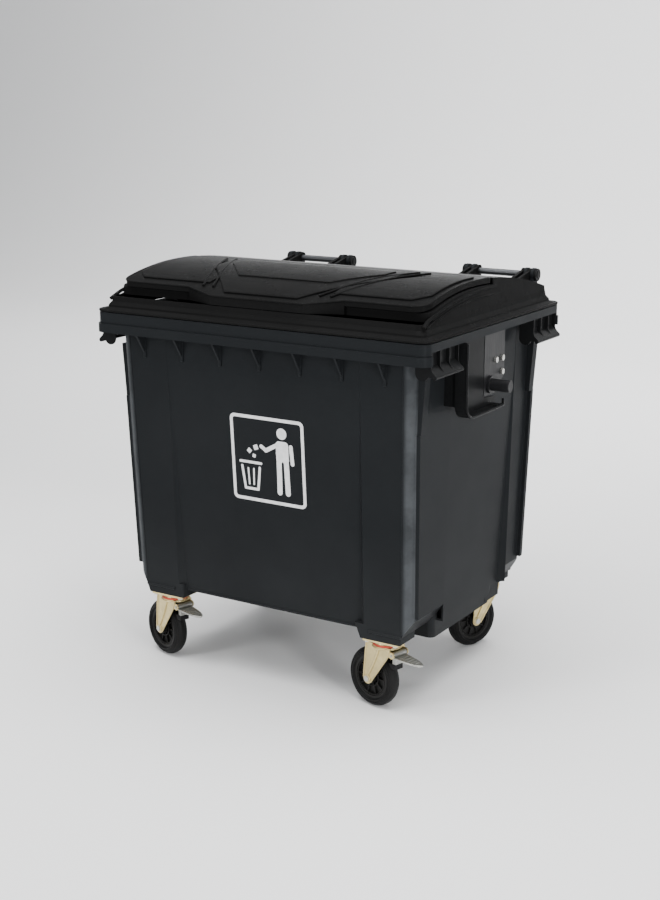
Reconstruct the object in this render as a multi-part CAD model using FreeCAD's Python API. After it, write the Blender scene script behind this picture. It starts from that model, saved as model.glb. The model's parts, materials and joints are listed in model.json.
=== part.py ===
"""Four-wheeled 1100 litre waste container with a domed lid and a smaller flap in the lid.

Millimetres, +X to the right seen from the front, -Y to the front, +Z up. Shapes are drawn with the
middle of the rim at X = 0, Y = 0 and the ground at Z = 0, and write() then moves each of them along Y,
so that the ground point under the middle of the whole container is the origin.
"""
import FreeCAD, Part
import math
import os

# ---- driving dimensions: tub ----
rim_width = 1266.0          # outside of the rim, left to right
rim_depth = 985.0           # outside of the rim, front to back
rim_top = 1248.0            # top of the rim above the ground
rim_band = 68.0             # height of the rim's outer band
rim_corner = 32.0           # plan radius of the rim's corners
rim_skirt = 8.0             # thickness of the band
rim_flange = 9.0            # thickness of the rim's flat top
rim_step = 5.0              # how far the lower part of the band stands out
rim_step_height = 30.0      # height of that lower part
side_band = 27.0            # height of the band along the sides, between the corners
band_return = 32.0          # how far the full band runs back along the sides from the front and back
wall = 6.0                  # wall of the tub
side_overhang = 67.0        # how far the rim stands out from the side walls at the top
front_overhang = 43.0       # how far the rim stands out from the front and back walls
side_taper = 18.0           # draft of the side walls over the full height
front_taper = 42.0          # draft of the front and back walls over the full height
body_corner = 34.0          # plan radius of the tub's corners
housing_height = 24.0       # underside of the tub's front and back edges, above the casters' plates
crease_top = 1075.0         # height where the recessed panels start
panel_recess = 22.0         # depth of the recessed panels at the base
front_panel_margin = 191.0  # side edge of the recessed front and back panels, inside the side wall
side_panel_front_margin = 302.5# front end of the recessed side panels, behind the rim's front
side_panel_back_margin = 207.5# back end of the recessed side panels, ahead of the rim's back
crease_start = 0.6          # depth of the panels where they start
keel_drop = 61.0            # lowest face of the tub, below those edges
keel_front_gap = 131.0      # front end of the keel, behind the front swivel axes
keel_back_gap = 116.0       # back end of the keel, ahead of the rear swivel axes
keel_draft = 18.0           # slope of the keel's ends
skirt_back_gap = 68.0       # back end of the keel's side skirts, ahead of the rear swivel axes
skirt_wall = 16.0           # thickness of those skirts
corner_chamfer_x = 52.0     # inward slope of the tub's bottom corners
corner_chamfer_z = 80.0     # height of that slope
gusset_count = 7
gusset_pitch = 155.0
gusset_thickness = 7.0
gusset_drop = 77.0          # how far a gusset reaches below the band
corner_fin_setback = 78.5   # outer face of the upright fins on the side walls, inside the rim's front and back
corner_fin_wall = 34.0
corner_fin_top_reach = 28.0 # how far a fin stands out from the wall at its top
corner_fin_low_reach = 15.0
corner_fin_bottom = 951.0
corner_rib_bottom = 345.0   # narrow rib that carries a fin on downwards
corner_rib_wall = 18.0
corner_rib_setback = 20.0   # outer face of the rib, behind the front wall or ahead of the back wall

# ---- driving dimensions: trunnions and guards ----
pin_stand = 52.0            # end of each lifting pin, beyond the rim
pin_radius = 20.0
pin_y = -10.0
pin_z = 1047.0
pin_root = 26.0             # length of the pin's shank that sits in the tub's pad
pin_shank_radius = 16.0
pin_flange_radius = 29.0
pin_flange = 8.0            # thickness of the pin's flange, against the bearing plate
pin_chamfer = 2.0
plate_setback = 22.0        # outer face of the steel bearing plate, inside the rim's side
plate_thickness = 8.0
plate_front = 45.0          # bearing plate, ahead of the pin's line
plate_back = 105.0          # bearing plate, behind the pin's line
plate_drop = 34.0           # bearing plate, below the pin's line
trunnion_bolt_radius = 6.0
trunnion_bolt_places = ((36.0, 76.0), (84.0, 76.0), (84.0, 30.0))
guard_setback = 246.5       # front of the guard, behind the rim's front
guard_bottom = 972.0
guard_radius = 52.0         # bend of the guard's lower front corner
guard_stand = 10.0          # outer edge of the guard, beyond the rim's side
guard_wall = 7.0
guard_lug_rise = 40.0       # block that carries the guard, above its bottom and below the band
guard_tail = 30.0           # end of the guard's foot, behind the middle

# ---- driving dimensions: corner handles ----
handle_length = 182.0
handle_recess = 14.0        # upper wall of the grip, behind the rim's side face
handle_wall = 4.0
handle_knee = 1176.0        # height where the grip's wall starts to flare outwards
handle_stand = 17.0         # outermost line of the grip's rounded edge, beyond the rim's side
handle_lip_height = 1146.0
handle_lip_radius = 7.0
handle_cheek_radius = 23.0  # round underside of the grip's end plates
handle_cheek_depth = 55.0   # inner edge of the end plates, inside the rim's side
handle_bottom = 1133.0
handle_ribs = 2

# ---- driving dimensions: lid and flap ----
seam_gap = 2.0              # between the rim and the lid
lid_wall = 5.0
lid_steps = ((1.0, 0.0, 31.0), (6.0, 6.0, 29.0), (23.0, 15.0, 26.0), (24.0, 21.0, 26.0),
             (33.0, 33.0, 24.0), (36.0, 50.0, 22.0))   # inset, height above the seam, corner radius
crest_y = -90.0             # line of the dome's crest
crest_height = 142.0        # top of the flap above the lid's seam
dome_front_radius = 1163.0
dome_back_radius = 1880.0
dome_side_draft = 12.0
fascia_setback = 90.5       # upright face of the lid under the flap's front edge, behind the rim's front
flap_seat = 22.0            # lid surface below the flap's top surface
flap_margin = 47.0          # side edge of the flap, inside the rim's side
flap_setback = 81.5         # front edge of the flap, behind the rim's front
flap_back = 30.0            # back edge of the flap, behind the middle
flap_wall = 4.0
flap_skirt = 17.0           # height of the flap's edge
flap_corner = 45.0
grip_half = 182.0           # half width of the grip's front edge
grip_root_half = 298.0      # half width of the grip where it leaves the flap
grip_setback = 34.5         # front face of the flap's grip, behind the rim's front
grip_height = 30.0          # height of the grip's front face
opening_margin = 46.0       # side edge of the opening, inside the flap's edge
opening_setback = 112.5     # front edge of the opening, behind the rim's front
opening_back = -12.0
flap_pin_radius = 4.0
flap_pin_y = 22.0
flap_pin_drop = 11.0        # flap pin's centre below the flap's surface
flap_knuckle_radius = 8.5
flap_knuckle_length = 60.0
flap_knuckle_pitch = 300.0
flap_knuckle_count = 4
knuckle_gap = 1.0
lug_thickness = 8.0
lug_clearance = 0.8         # beside each lug, in the flap
lug_foot_front = 5.0        # foot of a flap lug, ahead of the flap's pin
lug_foot_back = 3.5         # and behind it, short of the flap's edge at its widest swing

# ---- driving dimensions: lid hinges ----
hinge_overhang = 48.0       # hinge axis behind the rim
hinge_height = 89.0         # hinge axis above the rim
hinge_middle = 380.0        # middle of each hinge, from the middle of the container
hinge_rod_radius = 12.0
hinge_rod_length = 270.0
hinge_fin = 11.0            # thickness of one hinge fin
hinge_fin_gap = 2.0
hinge_eye_radius = 24.0

# ---- driving dimensions: casters ----
caster_inset_x = 134.0      # swivel axes, inside the top of the side walls
caster_inset_y = 136.5      # swivel axes, inside the rim's front and back
caster_height = 250.0
wheel_radius = 100.0
tyre_width = 50.0
tyre_depth = 27.0
caster_trail = 55.0
caster_plate_x = 135.0
caster_plate_y = 105.0
caster_plate_thickness = 6.0
caster_hole_x = 105.0
caster_hole_y = 80.0
caster_bolt_radius = 5.0
race_radius = 44.0
race_height = 8.0
seal_height = 6.4
crown_thickness = 6.0
fork_inner = 31.0           # inside face of a fork leg, from the wheel's middle
fork_wall = 4.0
fork_eye = 18.0
axle_radius = 6.0
bearing_radius = 11.0
hub_bore_radius = 11.0
hub_boss_radius = 21.0
hub_boss_width = 58.0
housing_margin = 8.0        # wheel housing, around the caster plate
headings = {"front_left": -17.9, "front_right": -14.0, "rear_right": 65.4, "rear_left": 72.0}
braked = ("front_left", "front_right")
pedal_pivot_x = 52.0
pedal_pivot_z = 208.0
pedal_pin_radius = 4.0
pedal_reach = 158.0         # tip of the pedal, ahead of the swivel axis
shoe_gap = 5.0              # brake shoe to tyre with the pedal up

running = 0.06              # radial clearance of a turning fit
drain_radius = 26.0

# ---- driving dimensions: pictogram on the front ----
sign_x = 16.0               # middle of the frame, right of the container's middle
sign_z = 800.0
sign_width = 287.0
sign_height = 296.0
sign_line = 11.0
sign_corner = 18.0
sign_film = 0.6             # thickness of the print

# ---- values that follow from them ----
base_height = caster_height + housing_height
keel_bottom = base_height - keel_drop
band_bottom = rim_top - rim_band
side_band_bottom = rim_top - side_band
seam = rim_top + seam_gap
half_w = rim_width / 2
half_d = rim_depth / 2
wall_top = half_w - side_overhang
front_panel_half = wall_top - front_panel_margin
corner_fin_outer = half_d - corner_fin_setback
guard_front = half_d - guard_setback
side_panel_front = half_d - side_panel_front_margin
side_panel_back = half_d - side_panel_back_margin
caster_x = wall_top - caster_inset_x
caster_y = half_d - caster_inset_y
keel_front = caster_y - keel_front_gap
keel_back = caster_y - keel_back_gap
skirt_back = caster_y - skirt_back_gap
across_pins = rim_width + 2 * pin_stand
plate_face = half_w - plate_setback
guard_face = half_w + guard_stand
handle_lip = half_w + handle_stand
handle_cheek_inner = half_w - handle_cheek_depth
flap_half = half_w - flap_margin
opening_half = flap_half - opening_margin
fascia_front = half_d - fascia_setback
flap_front = half_d - flap_setback
grip_front = half_d - grip_setback
opening_front = half_d - opening_setback
hinge_y = half_d + hinge_overhang
hinge_z = rim_top + hinge_height
shift_y = -(hinge_y + hinge_eye_radius - half_d - rim_step) / 2
crest_z = seam + crest_height
sides = {"left": -1, "right": 1}
ends = {"front": -1, "rear": 1}
plate_top = caster_height
plate_bottom = plate_top - caster_plate_thickness
race_bottom = plate_bottom - race_height
crown_top = race_bottom - seal_height - 0.6
crown_bottom = crown_top - crown_thickness
far = 3000.0


def write(name, shape):
    """Moves a finished shape into the container's own frame and stores it."""
    moved = shape.copy()
    moved.translate(FreeCAD.Vector(0, shift_y, 0))
    moved.exportStep("parts/%s.step" % name)


def v(x, y, z):
    return FreeCAD.Vector(x, y, z)


def box(x0, x1, y0, y1, z0, z1):
    return Part.makeBox(x1 - x0, y1 - y0, z1 - z0, v(x0, y0, z0))


def rod(start, end, radius):
    """A round bar between two points."""
    way = end - start
    return Part.makeCylinder(radius, way.Length, start, way)


def tube(start, end, outer, inner):
    return rod(start, end, outer).cut(rod(start, end, inner))


def fused(shapes):
    whole = shapes[0].multiFuse(shapes[1:]) if len(shapes) > 1 else shapes[0]
    return whole.removeSplitter()


def mirrored(shape):
    """The same shape on the other side of the container."""
    return shape.mirror(v(0, 0, 0), v(1, 0, 0))


def rounded_wire(points, radii, z):
    """A closed flat outline whose corners are arcs; a radius of 0 keeps a corner sharp."""
    count = len(points)
    entries = []
    for i in range(count):
        here = v(points[i][0], points[i][1], z)
        before = v(points[i - 1][0], points[i - 1][1], z)
        after = v(points[(i + 1) % count][0], points[(i + 1) % count][1], z)
        if radii[i] == 0:
            entries.append((here, None, here))
            continue
        to_before = (before - here).normalize()
        to_after = (after - here).normalize()
        half_angle = to_before.getAngle(to_after) / 2
        setback = radii[i] / math.tan(half_angle)
        bisector = (to_before + to_after).normalize()
        centre = here + bisector * (radii[i] / math.sin(half_angle))
        entries.append((here + to_before * setback, centre - bisector * radii[i], here + to_after * setback))
    edges = []
    for i in range(count):
        start, middle, end = entries[i]
        if middle is not None:
            edges.append(Part.Arc(start, middle, end).toShape())
        edges.append(Part.LineSegment(end, entries[(i + 1) % count][0]).toShape())
    return Part.Wire(edges)


def rectangle_wire(x0, x1, y0, y1, radius, z):
    corners = ((x0, y0), (x1, y0), (x1, y1), (x0, y1))
    return rounded_wire(corners, (radius,) * 4, z)


def prism(wire, height):
    return Part.Face(wire).extrude(v(0, 0, height))


def loft(wires):
    return Part.makeLoft(wires, True, True)


def side_prism(points, x0, x1):
    """A solid with an outline drawn in Y and Z, between two planes of X."""
    corners = [v(x0, y, z) for y, z in points]
    face = Part.Face(Part.makePolygon(corners + corners[:1]))
    return face.extrude(v(x1 - x0, 0, 0))


# ---- tub ----

def wall_place(z, top, taper):
    """Distance of a wall from the middle at a height."""
    return top - taper * (rim_top - z) / (rim_top - base_height)


def tub_outline(z, inset):
    """Plan of the tub's wall: rounded corners, and a shallow panel recess on each of the four sides."""
    hx = wall_place(z, wall_top, side_taper) - inset
    hy = wall_place(z, half_d - front_overhang, front_taper) - inset
    fade = max(0.0, (crease_top - z) / (crease_top - base_height))
    deep = crease_start + (panel_recess - crease_start) * fade
    px = front_panel_half
    front = ((-px, -hy), (-px + deep, -hy + deep), (px - deep, -hy + deep), (px, -hy))
    right = ((hx, -side_panel_front), (hx - deep, -side_panel_front + deep),
             (hx - deep, side_panel_back - deep), (hx, side_panel_back))
    back = tuple((-x, -y) for x, y in front)
    left = tuple((-x, y) for x, y in reversed(right))
    corner = body_corner - inset
    points = ((-hx, -hy),) + front + ((hx, -hy),) + right + ((hx, hy),) + back + ((-hx, hy),) + left
    radii = ((corner,) + (0,) * 4) * 4
    return rounded_wire(points, radii, z)


def keel(inset):
    """The deep middle of the floor, between the front and the rear casters."""
    top = base_height + 30
    hx = wall_top - side_taper - panel_recess - inset
    wires = [rectangle_wire(-hx + 6, hx - 6, -keel_front + keel_draft + inset, keel_back - keel_draft - inset,
                            20, keel_bottom + inset),
             rectangle_wire(-hx, hx, -keel_front + inset, keel_back - inset, 20, top)]
    return loft(wires)


def corner_cut(inset):
    """Wedge that slopes the outer bottom corners of the tub inwards."""
    outer = wall_top - side_taper - inset
    points = ((outer, base_height + corner_chamfer_z - 20), (outer - corner_chamfer_x, base_height - 20),
              (outer - corner_chamfer_x, 0), (far, 0), (far, base_height + corner_chamfer_z - 20))
    corners = [v(x, 0, z) for x, z in points]
    face = Part.Face(Part.makePolygon(corners + corners[:1]))
    front = face.extrude(v(0, -far, 0))
    front.translate(v(0, -side_panel_front, 0))
    rear = face.extrude(v(0, far, 0))
    rear.translate(v(0, side_panel_back, 0))
    return [front, rear, mirrored(front), mirrored(rear)]


def tub_form(inset, floor, top):
    """The tub's outer shape, or with an inset the hollow inside it."""
    walls = loft([tub_outline(floor, inset), tub_outline(crease_top, inset), tub_outline(top, inset)])
    sloped = walls.cut(corner_cut(inset)[0].multiFuse(corner_cut(inset)[1:]))
    return fused([sloped, keel(inset)])


def wheel_housings():
    """Thick pads in the four bottom corners that carry the casters."""
    pads = []
    px = caster_plate_x / 2 + housing_margin
    py = caster_plate_y / 2
    for sx in sides.values():
        for sy in ends.values():
            x, y = sx * caster_x, sy * caster_y
            low = rectangle_wire(x - px, x + px, y - py, y + py, 8, plate_top)
            high = rectangle_wire(x - px - 20, x + px, y - py, y + py, 8, base_height + 26)
            pads.append(loft([low, high]))
    return pads


def rim():
    """Flat flange with a deep band hanging from its edge; the band is shallow along the sides."""
    outer = rectangle_wire(-half_w, half_w, -half_d, half_d, rim_corner, band_bottom)
    inner = rectangle_wire(-half_w + rim_skirt, half_w - rim_skirt, -half_d + rim_skirt, half_d - rim_skirt,
                           rim_corner - rim_skirt, band_bottom)
    proud = rectangle_wire(-half_w - rim_step, half_w + rim_step, -half_d - rim_step, half_d + rim_step,
                           rim_corner + rim_step, band_bottom)
    band = prism(outer, rim_band).fuse(prism(proud, rim_step_height)).cut(prism(inner, rim_band - rim_flange))
    reach = half_d - band_return
    notches = []
    for side in sides.values():
        x0, x1 = sorted((side * (half_w - rim_skirt - 1), side * (half_w + rim_step + 1)))
        notches.append(box(x0, x1, -reach, reach, band_bottom - 1, side_band_bottom))
    return band.cut(notches[0].fuse(notches[1]))


def gussets():
    """Triangular webs between the band and the front and back walls."""
    webs = []
    wall_y = wall_place(band_bottom - gusset_drop, half_d - front_overhang, front_taper) - wall / 2
    for i in range(gusset_count):
        x = (i - (gusset_count - 1) / 2) * gusset_pitch
        points = ((-half_d + 3, band_bottom), (-half_d + 3, rim_top - 4), (-wall_y, rim_top - 4),
                  (-wall_y, band_bottom - gusset_drop))
        web = side_prism(points, x - gusset_thickness / 2, x + gusset_thickness / 2)
        webs.append(web)
        webs.append(web.mirror(v(0, 0, 0), v(0, 1, 0)))
    return webs


def corner_fins():
    """Tapered upright fins on the side walls under the grips, and the ribs that carry them on downwards."""
    fins = []
    top = handle_bottom - 0.5
    root = wall_place(corner_fin_bottom, wall_top, side_taper)
    points = ((root - wall / 2, top), (root + corner_fin_top_reach, top),
              (root + corner_fin_low_reach, corner_fin_bottom), (root - wall / 2, corner_fin_bottom))
    for y in (-corner_fin_outer, corner_fin_outer - corner_fin_wall):
        corners = [v(x, y, z) for x, z in points]
        fin = Part.Face(Part.makePolygon(corners + corners[:1])).extrude(v(0, corner_fin_wall, 0))
        fins += [fin, mirrored(fin)]
    sections = []
    for z in (corner_rib_bottom, corner_fin_bottom + 1):
        side = wall_place(z, wall_top, side_taper)
        edge = wall_place(z, half_d - front_overhang, front_taper) - corner_rib_setback
        sections.append(rectangle_wire(side - wall + 0.5, side + corner_fin_low_reach, edge - corner_rib_wall,
                                       edge, 0, z))
    rib = loft(sections)
    for rib_end in (rib, rib.mirror(v(0, 0, 0), v(0, 1, 0))):
        fins += [rib_end, mirrored(rib_end)]
    return fins


def side_skirts():
    """The keel's side walls run on behind it."""
    outer = wall_top - side_taper - panel_recess - 4
    skirts = []
    for side in sides.values():
        x0, x1 = sorted((side * (outer - skirt_wall), side * outer))
        skirts.append(box(x0, x1, keel_back - 60, skirt_back, keel_bottom + 8, base_height + 30))
    return skirts


def trunnion_pad(side):
    """Moulded block on the side wall that the bearing plate is bolted to."""
    inner = wall_place(pin_z - plate_drop, wall_top, side_taper) - wall
    x0, x1 = sorted((side * inner, side * (plate_face - plate_thickness)))
    return box(x0, x1, pin_y - plate_front, pin_y + plate_back, pin_z - plate_drop, rim_top - rim_flange / 2)


def hinge_fins(kind):
    """Left edges in X of one hinge's fins: the tub's fins sit outside the lid's fins at both ends."""
    pitch = hinge_fin + hinge_fin_gap
    half = hinge_rod_length / 2
    if kind == "tub":
        offsets = (0, 2 * pitch)
    else:
        offsets = (pitch, 3 * pitch)
    starts = []
    for offset in offsets:
        starts.append(-half + offset)
        starts.append(half - offset - hinge_fin)
    return starts


def tub_hinge_fins():
    """Upright fins behind the rim, each with an eye for the hinge rod."""
    points = ((half_d - rim_skirt / 2, band_bottom + 6), (half_d - rim_skirt / 2, rim_top),
              (half_d + 6, rim_top + 4), (hinge_y - hinge_eye_radius * 0.9, hinge_z - 10),
              (hinge_y, hinge_z), (hinge_y + hinge_eye_radius * 0.9, hinge_z - 10),
              (half_d + 34, band_bottom + 6))
    fins = []
    for side in sides.values():
        for start in hinge_fins("tub"):
            x = side * hinge_middle + start
            fins.append(side_prism(points, x, x + hinge_fin))
            fins.append(rod(v(x, hinge_y, hinge_z), v(x + hinge_fin, hinge_y, hinge_z), hinge_eye_radius))
    return fins


def hinge_bores(radius):
    bores = []
    for side in sides.values():
        x = side * hinge_middle
        reach = hinge_rod_length / 2 + 20
        bores.append(rod(v(x - reach, hinge_y, hinge_z), v(x + reach, hinge_y, hinge_z), radius))
    return bores


def caster_bolt_places():
    places = []
    for sx in sides.values():
        for sy in ends.values():
            for dx in (-caster_hole_x / 2, caster_hole_x / 2):
                for dy in (-caster_hole_y / 2, caster_hole_y / 2):
                    places.append((sx * caster_x + dx, sy * caster_y + dy))
    return places


def tub():
    solids = [tub_form(0, base_height, rim_top)]
    solids += wheel_housings()
    solids += [rim()]
    solids += gussets()
    solids += side_skirts()
    solids += corner_fins()
    solids += [trunnion_pad(side) for side in sides.values()]
    solids += tub_hinge_fins()
    whole = fused(solids)
    hollow = tub_form(wall, base_height + wall, rim_top + 20)
    drain = rod(v(0, 0, keel_bottom - 5), v(0, 0, keel_bottom + 40), drain_radius)
    holes = [hollow, drain] + hinge_bores(hinge_rod_radius)
    for x, y in caster_bolt_places():
        holes.append(rod(v(x, y, plate_top - 1), v(x, y, plate_top + 22), caster_bolt_radius))
    for side in sides.values():
        holes.append(trunnion_shank(side))
        for dy, dz in trunnion_bolt_places:
            face = side * (plate_face - plate_thickness)
            holes.append(rod(v(face - side * 26, pin_y + dy, pin_z + dz), v(face + side * 2, pin_y + dy, pin_z + dz),
                             trunnion_bolt_radius))
    return whole.cut(holes[0].multiFuse(holes[1:]))


# ---- lifting pins, their plates and guards ----

def trunnion_shank(side):
    """The part of the pin that sits in the pad and the bearing plate."""
    root = side * (plate_face - plate_thickness - pin_root)
    return rod(v(root, pin_y, pin_z), v(side * plate_face, pin_y, pin_z), pin_shank_radius)


def trunnion_pin(side):
    """Lifting pin: shank, flange and a free end with a chamfer."""
    flange_end = side * (plate_face + pin_flange)
    flange = rod(v(side * plate_face, pin_y, pin_z), v(flange_end, pin_y, pin_z), pin_flange_radius)
    free = rod(v(flange_end, pin_y, pin_z), v(side * across_pins / 2, pin_y, pin_z), pin_radius)
    tip_edges = [e for e in free.Edges if abs(abs(e.BoundBox.Center.x) - across_pins / 2) < 0.1
                 and e.BoundBox.XLength < 0.1]
    return fused([trunnion_shank(side), flange, free.makeChamfer(pin_chamfer, tip_edges)])


def trunnion_plate(side):
    """Steel bearing plate with its lower back corner sloped away."""
    low = pin_z - plate_drop
    high = side_band_bottom - 4
    front, back = pin_y - plate_front, pin_y + plate_back
    points = ((front, high), (back, high), (back, pin_z + 18), (pin_y + 38, low), (front, low))
    x0 = side * (plate_face - plate_thickness)
    plate = side_prism(points, x0, side * plate_face)
    holes = [trunnion_shank(side)]
    for dy, dz in trunnion_bolt_places:
        holes.append(rod(v(x0 - side, pin_y + dy, pin_z + dz), v(side * (plate_face + 2), pin_y + dy, pin_z + dz),
                         trunnion_bolt_radius))
    return plate.cut(holes[0].multiFuse(holes[1:]))


def hexagon_bolt(place, way, shank, radius, head_height):
    """Bolt with a six-sided head; way points from the head into the work."""
    head_face = place
    corner = radius * 1.75
    upright = v(0, 0, 1) if abs(way.z) < 0.5 else v(1, 0, 0)
    across = way.cross(upright)
    corners = []
    for i in range(6):
        turn = math.radians(60 * i)
        corners.append(head_face + upright * (corner * math.cos(turn)) + across * (corner * math.sin(turn)))
    head = Part.Face(Part.makePolygon(corners + corners[:1])).extrude(way * (-head_height))
    return head.fuse(rod(head_face, head_face + way * shank, radius)).removeSplitter()


def trunnion_bolts():
    bolts = []
    for side in sides.values():
        for dy, dz in trunnion_bolt_places:
            place = v(side * plate_face, pin_y + dy, pin_z + dz)
            bolts.append(hexagon_bolt(place, v(-side, 0, 0), plate_thickness + 24, trunnion_bolt_radius, 7.0))
    return Part.makeCompound(bolts)


def guard_profile(inset):
    """J-shaped outline in Y and Z, open towards the lifting pin."""
    front, low = -guard_front + inset, guard_bottom + inset
    top = side_band_bottom - 1 if inset == 0 else far
    tail = guard_tail if inset == 0 else far
    radius = guard_radius - inset
    points = [(front, top)]
    for i in range(7):
        turn = math.radians(180 + 15 * i)
        points.append((front + radius + radius * math.cos(turn), low + radius + radius * math.sin(turn)))
    points += [(tail, low), (tail, low + (30 if inset == 0 else 0)), (pin_y - plate_front - 2, pin_z - plate_drop - 2),
               (pin_y - plate_front - 2, top)]
    if inset:
        points = points[:-3] + [(far, top)]
    return points


def guard(side):
    """Open tray ahead of the lifting pin that leads the lifting arm onto it."""
    x_in = side * (plate_face - plate_thickness)
    solid = side_prism(guard_profile(0), x_in, side * guard_face)
    pocket = side_prism(guard_profile(guard_wall), x_in + side * guard_wall, side * (guard_face + 10))
    arm = solid.cut(pocket)
    low, high = guard_bottom + guard_lug_rise, band_bottom - guard_lug_rise
    corners = []
    for x, z in ((plate_face - plate_thickness + guard_wall / 2, low), (wall_place(low, wall_top, side_taper), low),
                 (wall_place(high, wall_top, side_taper), high),
                 (plate_face - plate_thickness + guard_wall / 2, high)):
        corners.append(v(side * x, -guard_front + guard_wall, z))
    lug_face = Part.Face(Part.makePolygon(corners + corners[:1]))
    lug = lug_face.extrude(v(0, guard_front - guard_wall - side_panel_front - guard_wall, 0))
    return fused([arm, lug])


# ---- corner handles ----

def handle(side, end):
    """Grip under the rim's side: a ribbed wall that flares out to a rounded edge, between two end plates."""
    back_face = half_w - handle_recess - handle_wall
    face = half_w - handle_recess
    under_flange = rim_top - rim_flange
    lip_x = handle_lip - handle_lip_radius
    y_out = half_d - band_return
    y_in = y_out - handle_length
    cheek_x = handle_cheek_inner + handle_cheek_radius
    cheek_z = handle_bottom + handle_cheek_radius

    def slab(points, y0, y1):
        corners = [v(x, y0, z) for x, z in points]
        return Part.Face(Part.makePolygon(corners + corners[:1])).extrude(v(0, y1 - y0, 0))

    wall_slab = slab(((back_face, handle_knee), (back_face, under_flange), (face, under_flange),
                      (face, handle_knee)), y_in, y_out)
    flare = slab(((back_face, handle_knee), (face, handle_knee + 2), (lip_x + 5, handle_lip_height + 5),
                  (lip_x, handle_lip_height - 3)), y_in, y_out)
    edge = rod(v(lip_x, y_in, handle_lip_height), v(lip_x, y_out, handle_lip_height), handle_lip_radius)
    rib_points = ((back_face, handle_knee), (back_face, side_band_bottom), (half_w - 2, side_band_bottom),
                  (half_w - 2, handle_knee - 4), (handle_lip - 3, handle_lip_height + 5),
                  (lip_x, handle_lip_height))
    ribs = []
    for i in range(handle_ribs):
        y = y_in + handle_length * (i + 1) / (handle_ribs + 1)
        ribs.append(slab(rib_points, y - handle_wall / 2, y + handle_wall / 2))
    cheek_points = ((handle_cheek_inner, cheek_z), (handle_cheek_inner, under_flange), (face, under_flange),
                    (face, side_band_bottom), (half_w - 2, side_band_bottom), (half_w - 2, handle_knee - 4),
                    (lip_x, handle_lip_height), (cheek_x, handle_lip_height), (cheek_x, cheek_z))
    cheeks = []
    for y in (y_in, y_out - handle_wall):
        cheeks.append(slab(cheek_points, y, y + handle_wall))
        cheeks.append(rod(v(cheek_x, y, cheek_z), v(cheek_x, y + handle_wall, cheek_z), handle_cheek_radius))
    grip = fused([wall_slab, flare, edge] + ribs + cheeks)
    if end < 0:
        grip = grip.mirror(v(0, 0, 0), v(0, 1, 0))
    return grip if side > 0 else mirrored(grip)


# ---- lid ----

def dome_points(offset, y_start, y_end):
    """Edges in the Y-Z plane at X = 0 that follow the dome, lowered by an offset."""
    def height(y):
        radius = dome_front_radius if y < crest_y else dome_back_radius
        return crest_z - radius + math.sqrt((radius - offset) ** 2 - (y - crest_y) ** 2)
    edges = []
    if y_start < crest_y:
        middle = (y_start + crest_y) / 2
        edges.append(Part.Arc(v(0, y_start, height(y_start)), v(0, middle, height(middle)),
                              v(0, crest_y, height(crest_y))).toShape())
    start = max(y_start, crest_y)
    middle = (start + y_end) / 2
    edges.append(Part.Arc(v(0, start, height(start)), v(0, middle, height(middle)),
                          v(0, y_end, height(y_end))).toShape())
    return edges, height(y_start), height(y_end)


def under_dome(offset, y_start, y_end, bottom, half_width):
    """Solid under the dome surface, down to a flat bottom."""
    edges, z_start, z_end = dome_points(offset, y_start, y_end)
    edges.append(Part.LineSegment(v(0, y_end, z_end), v(0, y_end, bottom)).toShape())
    edges.append(Part.LineSegment(v(0, y_end, bottom), v(0, y_start, bottom)).toShape())
    edges.append(Part.LineSegment(v(0, y_start, bottom), v(0, y_start, z_start)).toShape())
    face = Part.Face(Part.Wire(edges))
    solid = face.extrude(v(2 * half_width, 0, 0))
    solid.translate(v(-half_width, 0, 0))
    return solid


def lid_form(inset):
    """Stepped band and domed top of the lid, or the hollow under them."""
    wires = []
    for step_in, rise, corner in lid_steps:
        x, y = half_w - step_in - inset, half_d - step_in - inset
        wires.append(rectangle_wire(-x, x, -y, y, corner - inset, seam + rise))
    band = loft(wires)
    last_in, last_rise, last_corner = lid_steps[-1]
    x, y = half_w - last_in - inset, half_d - last_in - inset
    front = -fascia_front + inset
    low = rectangle_wire(-x, x, front, y, last_corner - inset, seam + last_rise - 2)
    high = rectangle_wire(-x + dome_side_draft, x - dome_side_draft, front, y - dome_side_draft,
                          last_corner - inset, crest_z + 20)
    drafted = loft([low, high])
    seat_end = flap_back + 12
    under_flap = under_dome(flap_seat + inset, -half_d, seat_end, seam, half_w)
    rear = under_dome(inset, seat_end - inset, half_d, seam, half_w)
    dome = drafted.common(under_flap.fuse(rear))
    return band.fuse(dome)


def lid_hinge_arms():
    """Arms from the back of the dome to the hinge rod."""
    back = half_d - lid_steps[-1][0]
    points = ((back - 70, seam + lid_steps[-1][1] + 8), (back - 60, hinge_z - 12), (hinge_y - 12, hinge_z + 16),
              (hinge_y, hinge_z), (hinge_y - 8, hinge_z - 16), (back - 4, seam + lid_steps[-1][1] - 12),
              (back - 12, seam + 10), (back - 26, seam + 10))
    arms = []
    for side in sides.values():
        for start in hinge_fins("lid"):
            x = side * hinge_middle + start
            arms.append(side_prism(points, x, x + hinge_fin))
            arms.append(rod(v(x, hinge_y, hinge_z), v(x + hinge_fin, hinge_y, hinge_z), hinge_eye_radius - 2))
    return arms


def flap_axis():
    """Height of the flap's hinge pin."""
    radius = dome_back_radius
    surface = crest_z - radius + math.sqrt(radius ** 2 - (flap_pin_y - crest_y) ** 2)
    return surface - flap_pin_drop


def knuckle_starts():
    """Left edges of the flap's knuckles on its hinge pin."""
    spread = (flap_knuckle_count - 1) / 2
    return [(i - spread) * flap_knuckle_pitch - flap_knuckle_length / 2 for i in range(flap_knuckle_count)]


def lug_starts():
    """Left edges of the lid's lugs, one on each side of every knuckle."""
    starts = []
    for start in knuckle_starts():
        starts.append(start - knuckle_gap - lug_thickness)
        starts.append(start + flap_knuckle_length + knuckle_gap)
    return starts


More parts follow.
